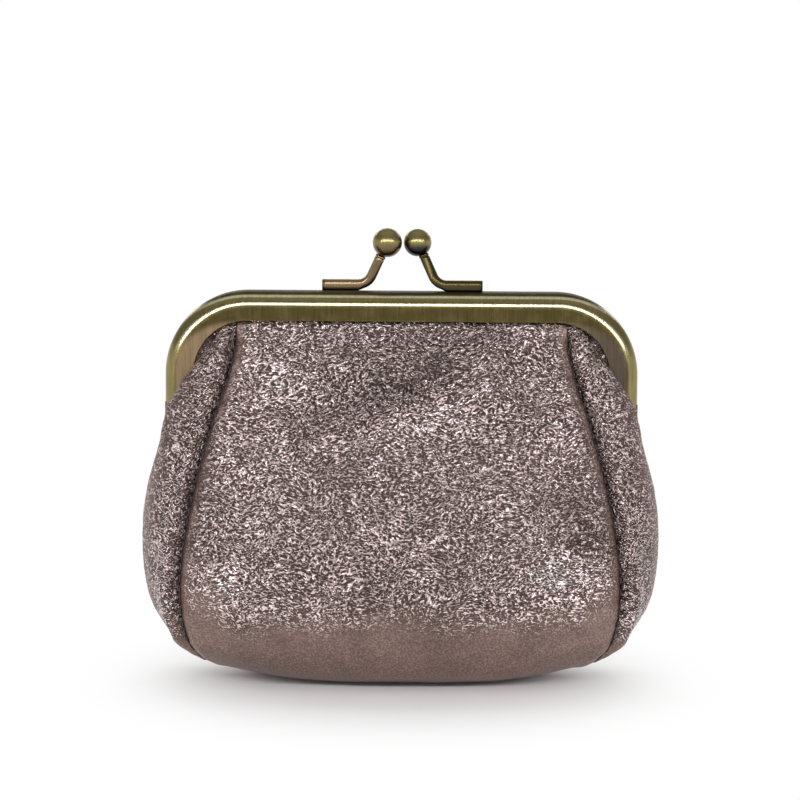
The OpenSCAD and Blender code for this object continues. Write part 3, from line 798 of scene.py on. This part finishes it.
def frame_bands(tree, coords, facing, rubbed, high, low):
    """A frame half's colour: painted shade on the flat front and top, painted light and painted highlights on
    the dome, tan at the inner edge and painted shade on the right arm, with its flat front and its flat top
    as masks"""
    palette = colours()
    forward = calc(tree, "ABSOLUTE", facing[1])
    flat = remap(tree, forward, 0.90, 0.985)
    top = remap(tree, facing[2], 0.76, 0.84)
    # Painted shade and light: the flat front and top take the low colour, the dome the high one
    dark = calc(tree, "ADD", calc(tree, "MAXIMUM", flat, top), rubbed, clamp=True)
    # Painted highlights: bands along the dome's crest and its rim
    crest, rim = (
        times(tree, times(tree, remap(tree, facing[2], *rise), remap(tree, facing[2], *fall)),
              remap(tree, forward, *front))
        for rise, fall, front in (CREST_HIGHLIGHT_BAND, RIM_HIGHLIGHT_BAND))
    # The painted highlights' share of the highlight colour, mixed in below
    worn = calc(tree, "MULTIPLY_ADD", rim, 0.9, crest, clamp=True)
    place = use_group(tree, channel_group(), Place=coords["Object"])
    edge = calc(tree, "MULTIPLY_ADD", remap(tree, place["Turn"], 0.0, 1.0), TAN_GROWTH, TAN_START)
    tan = remap(tree, calc(tree, "SUBTRACT", edge, place["Radius"]), -TAN_SOFT, TAN_SOFT)
    # Painted shade: the tan darkens to grey along the right arm
    darker = remap(tree, parts_of(tree, coords["Object"])[0], *SHADED_RIGHT_ARM, to_high=0.75)
    arm = blend_colours(tree, darker, palette.brass_tan, palette.brass_grey_shade)
    colour = blend_colours(tree, times(tree, tan, flat), blend_colours(tree, dark, high, low), arm)
    return blend_colours(tree, worn, colour, palette.brass_painted_highlight), flat, top


def antique_brass(name, high, low, banded=False):
    """Antiqued brass, colour high above and low as painted shade underneath, or a frame half's banded one"""
    if name in bpy.data.materials:
        return bpy.data.materials[name]
    material, tree, shader, coords = new_material(name)
    finish = use_group(tree, brushed_group(), Place=coords["Object"])
    facing = parts_of(tree, coords["Normal"])
    rubbed = remap(tree, finish["Patina"], 0.3, 0.7, -0.12, 0.12)
    if banded:
        colour, flat, top = frame_bands(tree, coords, facing, rubbed, high, low)
    else:
        # Painted shade: faces that look down take the low colour
        under = remap(tree, calc(tree, "ADD", facing[2], rubbed), 0.20, -0.50)
        colour = blend_colours(tree, under, high, low)
    streak = remap(tree, finish["Brush"], 0.3, 0.7, 0.80, 1.18, kind="LINEAR")
    colour = shaded(tree, 1.0 if banded else 0.3, colour, streak)
    tree.links.new(colour, shader.inputs["Base Color"])
    shader.inputs["Metallic"].default_value = 1.0
    shader.inputs["Roughness"].default_value = 0.27
    if banded:
        brushed = times(tree, finish["Brush"], flat)
        rough = remap(tree, brushed, 0.0, 0.7, 0.22, 0.32)
        tree.links.new(calc(tree, "MULTIPLY_ADD", top, 0.35, rough), shader.inputs["Roughness"])
        add_bump(tree, shader, brushed, 0.000005, 0.3)
    return material


def lining_cloth():
    """Plain woven cotton"""
    name = "woven_cotton"
    if name in bpy.data.materials:
        return bpy.data.materials[name]
    material, tree, shader, coords = new_material(name)
    threads = []
    for axis in ((1, 0, 0), (0, 0.6, 1)):
        along = vector_calc(tree, "DOT_PRODUCT", coords["Object"], axis)
        wave = calc(tree, "SINE", times(tree, along, THREADS_PER_M * 2 * math.pi))
        threads.append(calc(tree, "ABSOLUTE", wave))
    weave = times(tree, threads[0], threads[1])
    fuzz = speckle(tree, coords["Object"], 900.0, detail=2.0)
    shade = calc(tree, "ADD", times(tree, weave, 0.7), fuzz, clamp=True)
    base = colours().lining
    pale = tuple(2.6 * c for c in base)
    tree.links.new(blend_colours(tree, shade, base, pale), shader.inputs["Base Color"])
    shader.inputs["Roughness"].default_value = 0.85
    add_bump(tree, shader, weave, 0.00008, 0.6)
    return material


def twisted_fibre(name, colour, roughness=0.7):
    """Thread or paper cord: darker and lighter fibres"""
    if name in bpy.data.materials:
        return bpy.data.materials[name]
    material, tree, shader, coords = new_material(name)
    drawn_out = vector_calc(tree, "MULTIPLY", coords["Object"], (1.0, 1.0, 0.4))
    fibre = speckle(tree, drawn_out, 3500.0, detail=3.0)
    dark, pale = tuple(0.6 * c for c in colour), tuple(min(1.0, 1.5 * c) for c in colour)
    tree.links.new(blend_colours(tree, remap(tree, fibre, 0.3, 0.7), dark, pale), shader.inputs["Base Color"])
    shader.inputs["Roughness"].default_value = roughness
    add_bump(tree, shader, fibre, 0.00005, 0.5)
    return material


# Pieces

SIDES = (("left", -1), ("right", 1))
# Least thickness that a dent leaves of the leather, in millimetres
THINNEST = 0.25
# Distances from the seam between which the leather grows from its pared to its full thickness
PARED = (0.3, 2.2)
# Share of the colour that is lost in a seam's groove, and its half width in millimetres
GROOVE_SHADE = 0.70
GROOVE_W = 0.45
# Shifts in millimetres that give the rear panel and each gusset a noise of their own
REAR_SHIFT = 40.0
SIDE_SHIFT = 30.0


def leather_faces(base, normals, rise, from_seam):
    """Outer and inner points of the leather, which is pared at the seam and never reaches the lining"""
    s = sizes()
    deepest = (s.leather_t + 0.6 * s.lining_gap) / MM
    rise = np.maximum(rise, THINNEST - deepest)
    depth = lerp(s.skived_t, s.leather_t, smoothstep(*PARED, from_seam)) / MM - np.minimum(rise, 0)
    return above_floor(base + normals * rise[..., None]), layer(base, normals, np.minimum(depth, deepest))


def seam_shade(from_seam):
    """Share of the leather's colour left down in the groove of a seam"""
    return 1 - GROOVE_SHADE * bell(from_seam, GROOVE_W)


def leather_mesh(name, base, normals, rise, from_seam, turn, lively, sheen):
    outer, inner = leather_faces(base, normals, rise, from_seam)
    # The sheen mark: random tone, painted sheen and shade, and painted shade in the seam's groove
    marks = {"lively": lively, "sheen": sheen * seam_shade(from_seam)}
    return sheet_mesh(name, outer, inner, turn, marks=marks)


class PURSE_OT_panel(bpy.types.Operator):
    """Front and rear of the main panel, one piece of leather under the bottom"""
    bl_idname = "purse.panel"
    bl_label = "Main panel"

    def execute(self, context):
        s = sizes()
        base, share = panel_grid(s.leather_step / MM)
        normals, _ = sewn_normals(base, gusset_grid(s.leather_step / MM))
        from_seam = (1 - np.abs(share)) * base[:, -1, 0].mean()
        free = smoothstep(78.0, 74.5, base[..., 2])
        for half, way, body in HALVES:
            turn = [1, -way, 1]
            where = base * turn + [0, REAR_SHIFT * (way > 0), 0]
            lively = panel_lively(where, share)
            rise = s.swell_share * panel_swells(where, share)
            rise += s.crinkle_h / MM * crinkled(where, lively) * free
            mesh = leather_mesh(
                half + "_panel", base, normals, rise, from_seam, turn, lively, panel_tone_and_painted_light(where))
            add_sheet(mesh, foil_leather(), "main_panel")
        return {"FINISHED"}


class PURSE_OT_gussets(bpy.types.Operator):
    """Front and rear halves of the two side gussets"""
    bl_idname = "purse.gussets"
    bl_label = "Gussets"

    def execute(self, context):
        s = sizes()
        base = gusset_grid(s.leather_step / MM)
        _, normals = sewn_normals(panel_grid(s.leather_step / MM)[0], base)
        from_seam = from_column(base, 0).mean(axis=0)
        for side, lie in SIDES:
            for half, way, body in HALVES:
                turn = [lie, -way, 1]
                where = base * turn + [SIDE_SHIFT * lie, 0, 0]
                lively = gusset_lively(where)
                rise = s.swell_share * gusset_swells(base)
                rise += s.crinkle_h / MM * crinkled(where, lively)
                mesh = leather_mesh(f"{half}_{side}_gusset", base, normals, rise, from_seam, turn,
                                    lively, gusset_sheen(where))
                add_sheet(mesh, foil_leather(), side + "_gusset")
        return {"FINISHED"}


class PURSE_OT_lining(bpy.types.Operator):
    """Cloth lining under the panel and the gussets"""
    bl_idname = "purse.lining"
    bl_label = "Lining"

    def execute(self, context):
        s = sizes()
        top = (s.leather_t + s.lining_gap) / MM
        depths = (top, top + s.lining_t / MM)
        panel, _ = panel_grid(s.lining_step / MM)
        gusset = gusset_grid(s.lining_step / MM)
        of_panel, of_gusset = sewn_normals(panel, gusset)
        parts = [("main_lining", "lining_panel", panel, of_panel, 1)]
        parts += [(side + "_gusset_lining", side + "_lining_gusset", gusset, of_gusset, lie)
                  for side, lie in SIDES]
        for node, name, grid, normals, lie in parts:
            for half, way, body in HALVES:
                outer, inner = (layer(grid, normals, d) for d in depths)
                mesh = sheet_mesh(f"{half}_{name}", outer, inner, [lie, -way, 1], stride=1)
                add_sheet(mesh, lining_cloth(), node)
        return {"FINISHED"}


def tube_rings(centres, ahead, across, radii):
    """Rings round a line: a radius for each ring and each of its corners"""
    radii = np.atleast_2d(radii)
    up = np.cross(ahead, across)
    angle = np.linspace(0, 2 * math.pi, radii.shape[1], endpoint=False)
    return (centres[:, None] + radii[..., None] * (np.cos(angle)[None, :, None] * across[:, None]
                                                   + np.sin(angle)[None, :, None] * up[:, None]))


def joined_rings(ring_sets):
    """Points and outward faces of closed tubes, each given as an array of rings"""
    points, faces = [], []
    for rings in ring_sets:
        start, (count, sides) = len(points), rings.shape[:2]
        points += rings.reshape(-1, 3).tolist()
        at = start + np.arange(count * sides).reshape(count, sides)
        ahead = np.roll(at, -1, axis=1)
        quads = np.stack([at[:-1], ahead[:-1], ahead[1:], at[1:]], axis=-1)
        faces += quads.reshape(-1, 4).tolist()
        faces += [at[0, ::-1].tolist(), at[-1].tolist()]
    return points, faces


def tube_mesh(name, ring_sets):
    """Closed tubes, each given as an array of rings, as one mesh"""
    return new_mesh(name, *joined_rings([np.asarray(r) * MM for r in ring_sets]))


def tangents_of(points):
    """Unit directions along a line of points"""
    t = np.gradient(points, axis=0)
    return t / np.linalg.norm(t, axis=-1, keepdims=True)


# The way out of a seam's groove, the last station that is stitched, and the stitches' depth and rise
# in millimetres, with the rings and the faces round of each
SEAM_OUT = np.array([0.6, -0.8, 0.0])
SEAM_LAST = 12
STITCH_DEPTH = 0.50
STITCH_ARCH = 0.25
STITCH_RINGS = 9
STITCH_SIDES = 8
# Side, its sign and the share of the pitch that a stitch fills
STITCHED = (("left", -1, 0.86), ("right", 1, 0.66))


def stitch_rings(line, radius):
    """Rings of one stitch: it dips into the leather at both ends and is thickest in the middle"""
    arch = np.sin(np.linspace(0, math.pi, len(line))) ** 0.6
    line = line + SEAM_OUT * (STITCH_ARCH * arch[:, None] - STITCH_DEPTH)
    ahead = tangents_of(line)
    across = np.cross(ahead, SEAM_OUT)
    across /= np.linalg.norm(across, axis=-1, keepdims=True)
    radii = np.tile((radius * (0.35 + 0.65 * arch))[:, None], (1, STITCH_SIDES))
    return tube_rings(line, ahead, across, radii)


class PURSE_OT_seams(bpy.types.Operator):
    """Stitches in the grooves between the panel and the gussets"""
    bl_idname = "purse.seams"
    bl_label = "Seam threads"

    def execute(self, context):
        s = sizes()
        seam = np.array([station_points(row)[1] for row in STATIONS[:SEAM_LAST + 1]])
        lengths = np.concatenate([[0], np.cumsum(np.linalg.norm(np.diff(seam, axis=0), axis=1))])
        pitch, radius = s.stitch_pitch / MM, s.thread_d / 2 / MM
        count = int(lengths[-1] / pitch)
        span = np.linspace(-0.5, 0.5, STITCH_RINGS)
        for side, lie, fullness in STITCHED:
            stitches = []
            for k in range(count):
                along = (k + 0.5 + span * fullness) * pitch
                line = curve_at(seam, np.interp(along, lengths, np.arange(len(seam))))
                stitches.append(stitch_rings(line, radius))
            for half, way, body in HALVES:
                turn = np.array([lie, -way, 1])
                sets = [(ring * turn)[:, ::-way * lie] for ring in stitches]
                mesh = tube_mesh(f"{half}_{side}_seam_thread", sets)
                material = twisted_fibre("waxed_thread", colours().thread, roughness=0.6)
                follow_half(add_piece(mesh, material))
        return {"FINISHED"}


# The clasp's sizes in millimetres: those of the part's source, with a rod that is swelled a little
BALL_LIFT = 10.5
BALL_PITCH = 6.4
REAR_BALL_D = 6.2
FRONT_BALL_D = 5.9
ROD_D = 2.0
FOOT_REACH = 17.0
FOOT_LIFT = ROD_D / 2 + 0.3
FOOT_D = 0.15 + ROD_D / 2 + 0.1
FOOT_TAB = 1.0
SEAT = 0.02
ROD_SWELL = 1.1
BEND_R = 3.2
ARM_ANGLE = math.radians(66)
ARM_LEAN = math.radians(12.5)
STEM_RUN = (BALL_LIFT - FOOT_LIFT - BEND_R * (1 - math.cos(ARM_ANGLE))) / math.tan(ARM_ANGLE)
STEM_L = STEM_RUN / math.cos(ARM_ANGLE)
BEND_X = -BALL_PITCH / 2 - STEM_RUN - BEND_R * math.sin(ARM_ANGLE)
# The turned collar under a ball: distance back from the stem's end and share of the stem's thickness
BALL_JOINT = ((1.0, 1.0), (0.75, 1.03), (0.6, 0.9), (0.45, 0.9), (0.3, 1.08), (0.0, 1.02))


def arm_ring(x, h, turn, sides, tab=0.0, swell=1.0):
    """One ring of the rear clasp arm round the point (x, h) of its middle line, tilted by turn"""
    ring = []
    lean = ARM_LEAN * turn / ARM_ANGLE
    for k in range(sides):
        a = 2 * math.pi * k / sides
        round_side, round_up = math.cos(a), math.sin(a)
        side = swell * ROD_D / 2 * math.copysign(abs(round_side) ** 0.8, round_side)
        up = swell * ROD_D / 2 * max(-0.85, math.copysign(abs(round_up) ** 0.85, round_up))
        if tab and round_up < 0:
            up = lerp(up, -(FOOT_LIFT - SEAT) * (-round_up) ** 0.3, tab)
        px, py, pz = x - up * math.sin(turn), side, h + up * math.cos(turn)
        ring.append([px, py * math.cos(lean) - pz * math.sin(lean) + FOOT_D,
                     py * math.sin(lean) + pz * math.cos(lean) + FRAME_TOP + FOOT_LIFT])
    return ring


def arm_rings(ball_d, sides, bend_steps=24):
    """The whole arm: the foot soldered down, the bend, the stem and the joint under the ball"""
    rings = [arm_ring(-FOOT_REACH + 0.12, 0, 0, sides, tab=1.0, swell=0.86)]
    for x in (-FOOT_REACH + 0.03, -FOOT_REACH + FOOT_TAB, (BEND_X - FOOT_REACH) / 2):
        rings.append(arm_ring(x, 0, 0, sides, tab=1.0, swell=ROD_SWELL))
    for k in range(bend_steps + 1):
        turn = ARM_ANGLE * k / bend_steps
        rings.append(arm_ring(BEND_X + BEND_R * math.sin(turn), BEND_R * (1 - math.cos(turn)), turn, sides,
                              tab=max(0.0, 1 - 4 * k / bend_steps), swell=ROD_SWELL))

    def stem_ring(along, swell):
        return arm_ring(BEND_X + BEND_R * math.sin(ARM_ANGLE) + along * math.cos(ARM_ANGLE),
                        BEND_R * (1 - math.cos(ARM_ANGLE)) + along * math.sin(ARM_ANGLE),
                        ARM_ANGLE, sides, swell=swell)

    end = STEM_L - ball_d / 2 - SEAT
    for back, share in BALL_JOINT:
        rings.append(stem_ring(end - back, share * ROD_SWELL))
    return np.array(rings)


class PURSE_OT_clasp_arms(bpy.types.Operator):
    """The two bent arms that carry the snap balls"""
    bl_idname = "purse.clasp_arms"
    bl_label = "Clasp arms"

    def execute(self, context):
        palette = colours()
        # Each arm's colour above and its painted shade underneath; the front arm is darker throughout, as
        # painted shade
        for half, turn, ball_d, body, high, low in (
            ("rear", 1, REAR_BALL_D, "rear_half", palette.brass_tan, palette.brass_umber_shade),
            ("front", -1, FRONT_BALL_D, "front_half", palette.brass_antique_and_shade, palette.brass_grey_shade),
        ):
            rings = arm_rings(ball_d, sizes().arm_sides) * [turn, turn, 1]
            mesh = tube_mesh(half + "_arm", [rings[:, ::-1]])
            brass = antique_brass(f"antique_brass_{half}_arm", high, low)
            piece = add_piece(mesh, brass)
            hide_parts(half + "_clasp_arm")
            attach(piece, body)
        return {"FINISHED"}


# The cord's thickness, place in the channel, lower end and twist, in millimetres
PACKING_D = 1.7
PACKING_AT_R = INNER_R + 2.5
PACKING_AT_D = 0.15 + SHEET_T + PACKING_D / 2 + 0.15
PACKING_END_Z = 59.8
PACKING_STEP = 0.35
PACKING_TWIST = 4.5


def channel_line(radius, end_z, step):
    """Points along the channel, left to right, with their outward directions and places.
    The radius is from the corners' centres."""
    arm = CENTRE_Z - end_z
    corner = math.pi / 2 * radius
    total = arm + corner + CENTRE_X
    places = np.linspace(-total, total, int(2 * total / step) + 1)
    points, outward = [], []
    for place in places:
        s = abs(place)
        turn = min(max(0.0, s - CENTRE_X) / radius, math.pi / 2)
        drop = max(0.0, s - CENTRE_X - corner)
        way = math.copysign(1, place)
        out_x, out_z = math.sin(turn), math.cos(turn)
        points.append([way * (min(s, CENTRE_X) + radius * out_x), CENTRE_Z + radius * out_z - drop])
        outward.append([way * out_x, out_z])
    return np.array(points), np.array(outward), places


class PURSE_OT_packing(bpy.types.Operator):
    """Twisted paper cord pressed into each channel"""
    bl_idname = "purse.packing"
    bl_label = "Packing cords"

    def execute(self, context):
        flat, outward, places = channel_line(PACKING_AT_R, PACKING_END_Z, PACKING_STEP)
        centres = np.stack([flat[:, 0], np.full(len(flat), -PACKING_AT_D), flat[:, 1]], axis=-1)
        across = np.stack([outward[:, 0], np.zeros(len(flat)), outward[:, 1]], axis=-1)
        angle = np.linspace(0, 2 * math.pi, 18, endpoint=False)
        strand = np.abs(np.cos(1.5 * (angle[None, :] - places[:, None] * 2 * math.pi / PACKING_TWIST)))
        radii = PACKING_D / 2 * (0.86 + 0.14 * strand)
        rings = tube_rings(centres, tangents_of(centres), across, radii)
        for half, way, body in HALVES:
            turn = np.array([1, -way, 1])
            mesh = tube_mesh(half + "_packing", [(rings * turn)[:, ::-way]])
            piece = add_piece(mesh, twisted_fibre("kraft_paper", colours().paper))
            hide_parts(half + "_packing_cord")
            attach(piece, body)
        return {"FINISHED"}


# CAD nodes that stay as they are and their finish
METAL_NODES = (
    ("front_frame", "frame"), ("rear_frame", "frame"),
    ("left_hinge_rivet", "rivet"), ("right_hinge_rivet", "rivet"),
    ("front_clasp_ball", "front_ball"), ("rear_clasp_ball", "rear_ball"),
)


class PURSE_OT_metal(bpy.types.Operator):
    """Finish of the frame halves, the rivets and the snap balls"""
    bl_idname = "purse.metal"
    bl_label = "Metal finish"

    def execute(self, context):
        palette = colours()
        finishes = {kind: antique_brass("antique_brass_" + kind, high, low, banded=kind == "frame")
                    # Each finish: its colour above and its painted shade underneath, or on the frame painted
                    # light on the dome and painted shade on the flats
                    for kind, high, low in (
                        ("frame", palette.brass_lit, palette.brass_antique_and_shade),
                        ("rivet", palette.brass_tan, palette.brass_umber_shade),
                        ("rear_ball", palette.brass_lit, palette.brass_umber_shade),
                        ("front_ball", palette.brass_lit, palette.brass_grey_shade))}
        for node, kind in METAL_NODES:
            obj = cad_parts[node]
            obj.data.materials.clear()
            obj.data.materials.append(finishes[kind])
        return {"FINISHED"}


# Stage

# Distances from the middle of the floor in metres between which it turns from grey to white
FLOOR_FADE = (0.026, 0.075)
# Heights of a direction between which the world dims above the horizon and brightens overhead,
# and its strengths there
SKY_DIM = (0.06, 0.34, 1.0, 0.34)
SKY_OVERHEAD = (0.60, 1.00, 0.0, 0.25)
# Point that the lamps are turned to
LAMP_AIM = Vector((0, 0, 0.045))


class PurseStage(bpy.types.PropertyGroup):
    """Camera and light"""

    distance: FloatProperty(name="Camera distance", description="From the camera to the purse",
                            default=0.55, unit="LENGTH")
    elevation: FloatProperty(name="Camera elevation", description="Height angle of the camera",
                             default=math.radians(5.5), unit="ROTATION")
    roll: FloatProperty(name="Camera roll", description="Turn of the camera about its view",
                        default=math.radians(0.4), unit="ROTATION")
    lens: FloatProperty(name="Focal length", description="Of the camera, in millimetres", default=116.3)
    aim: FloatVectorProperty(name="Aim", description="Point that the camera looks at",
                             size=3, default=(-0.0003, 0.0, 0.0598), unit="LENGTH")
    key_power: FloatProperty(name="Key light", description="Power of the top light in watts", default=1.3)
    side_power: FloatProperty(
        name="Side lights", description="Power of each side light in watts", default=0.5)
    strip_power: FloatProperty(
        name="Strip lights", description="Power of the front strip light in watts", default=4.0)


def area_lamp(name, place, size, power, mirrored):
    """A rectangular lamp that no camera sees, and no reflection if it is not mirrored"""
    data = bpy.data.lights.new(name, "AREA")
    data.shape = "RECTANGLE"
    data.size, data.size_y = size
    data.energy = power
    lamp = bpy.data.objects.new(name, data)
    bpy.context.scene.collection.objects.link(lamp)
    lamp.location = place
    lamp.rotation_euler = (LAMP_AIM - Vector(place)).to_track_quat("-Z", "Y").to_euler()
    lamp.visible_camera = False
    lamp.visible_glossy = mirrored


def seen_rays(tree):
    """1 for camera, glossy and transmission rays"""
    path = tree.nodes.new("ShaderNodeLightPath").outputs
    either = calc(tree, "MAXIMUM", path["Is Camera Ray"], path["Is Glossy Ray"])
    return calc(tree, "MAXIMUM", either, path["Is Transmission Ray"])


def stage_material():
    """Pale floor that keeps the purse's shadow and turns white further out"""
    material, tree, shader, coords = new_material("stage_floor")
    tree.nodes.remove(shader)
    floor = add_node(tree, "ShaderNodeBsdfDiffuse", {"Color": (*colours().floor, 1.0)})
    white = add_node(tree, "ShaderNodeEmission", {"Color": (1.0, 1.0, 1.0, 1.0), "Strength": 1.0})
    away = vector_calc(tree, "LENGTH", coords["Object"])
    share = times(tree, seen_rays(tree), remap(tree, away, *FLOOR_FADE))
    mix = add_node(tree, "ShaderNodeMixShader", {0: share, 1: floor.outputs[0], 2: white.outputs[0]})
    tree.links.new(mix.outputs[0], tree.nodes["Material Output"].inputs["Surface"])
    return material


def studio_world():
    """Even white light, dimmer above the horizon and a little brighter overhead"""
    world = bpy.data.worlds.new("studio")
    world.use_nodes = True
    tree = world.node_tree
    sky = tree.nodes["Background"]
    direction = tree.nodes.new("ShaderNodeTexCoord").outputs["Generated"]
    height = parts_of(tree, direction)[2]
    shade = calc(tree, "ADD", remap(tree, height, *SKY_DIM), remap(tree, height, *SKY_OVERHEAD))
    sky.inputs["Color"].default_value = (1, 1, 1, 1)
    tree.links.new(shade, sky.inputs["Strength"])
    return world


def photo_camera(stage):
    """The camera in front of the purse, a little above it"""
    camera = bpy.data.objects.new("camera", bpy.data.cameras.new("camera"))
    bpy.context.scene.collection.objects.link(camera)
    camera.data.lens = stage.lens
    camera.data.sensor_width = 36.0
    back = Vector((0, -math.cos(stage.elevation), math.sin(stage.elevation)))
    place = Matrix.Translation(Vector(stage.aim) + back * stage.distance)
    look = (-back).to_track_quat("-Z", "Y").to_matrix().to_4x4()
    camera.matrix_world = place @ look @ Matrix.Rotation(stage.roll, 4, "Z")
    return camera


class PURSE_OT_stage(bpy.types.Operator):
    """Floor, world, lamps and camera"""
    bl_idname = "purse.stage"
    bl_label = "Stage"

    def execute(self, context):
        scene = context.scene
        stage = scene.purse_stage
        bpy.ops.object.select_all(action="DESELECT")
        bpy.ops.mesh.primitive_circle_add(vertices=96, radius=6.0, fill_type="NGON", location=(0, 0, 0))
        floor = context.object
        floor.name = "floor"
        floor.data.materials.append(stage_material())

        scene.world = studio_world()
        for lamp in (
            ("top_light", (0, 0.26, 0.52), (0.55, 0.40), stage.key_power, False),
            ("left_light", (-0.46, -0.26, 0.14), (0.22, 0.26), stage.side_power, False),
            ("right_light", (0.46, -0.26, 0.14), (0.22, 0.26), stage.side_power, False),
            ("front_strip", (0, -0.56, 0.28), (1.50, 0.070), stage.strip_power, True),
            ("rear_strip", (0, 0.54, 0.34), (0.90, 0.120), stage.strip_power / 4, True),
        ):
            area_lamp(*lamp)
        scene.camera = photo_camera(stage)
        scene.view_settings.view_transform = "Standard"
        return {"FINISHED"}


class PURSE_PT_panel(bpy.types.Panel):
    """Lists the purse's sizes, colours and steps"""
    bl_idname = "PURSE_PT_panel"
    bl_label = "Clasp-frame purse"
    bl_space_type = "VIEW_3D"
    bl_region_type = "UI"
    bl_category = "Purse"

    def draw(self, context):
        for group_name, group in GROUPS:
            column = self.layout.column(align=True)
            for name in group.__annotations__:
                column.prop(getattr(context.scene, group_name), name)
        for step in STEPS:
            self.layout.operator(step.bl_idname)


GROUPS = (("purse_sizes", PurseSizes), ("purse_colours", PurseColours), ("purse_stage", PurseStage))
STEPS = (PURSE_OT_stage, PURSE_OT_panel, PURSE_OT_gussets, PURSE_OT_lining, PURSE_OT_seams,
         PURSE_OT_clasp_arms, PURSE_OT_packing, PURSE_OT_metal)


def register():
    for name, group in GROUPS:
        bpy.utils.register_class(group)
        setattr(bpy.types.Scene, name, PointerProperty(type=group))
    for step in (*STEPS, PURSE_PT_panel):
        bpy.utils.register_class(step)


def unregister():
    for step in (PURSE_PT_panel, *reversed(STEPS)):
        bpy.utils.unregister_class(step)
    for name, group in reversed(GROUPS):
        delattr(bpy.types.Scene, name)
        bpy.utils.unregister_class(group)


def main():
    register()
    bpy.ops.purse.stage()
    bpy.ops.purse.panel()
    bpy.ops.purse.gussets()
    bpy.ops.purse.lining()
    bpy.ops.purse.seams()
    bpy.ops.purse.clasp_arms()
    bpy.ops.purse.packing()
    bpy.ops.purse.metal()


if __name__ == "__main__":
    main()
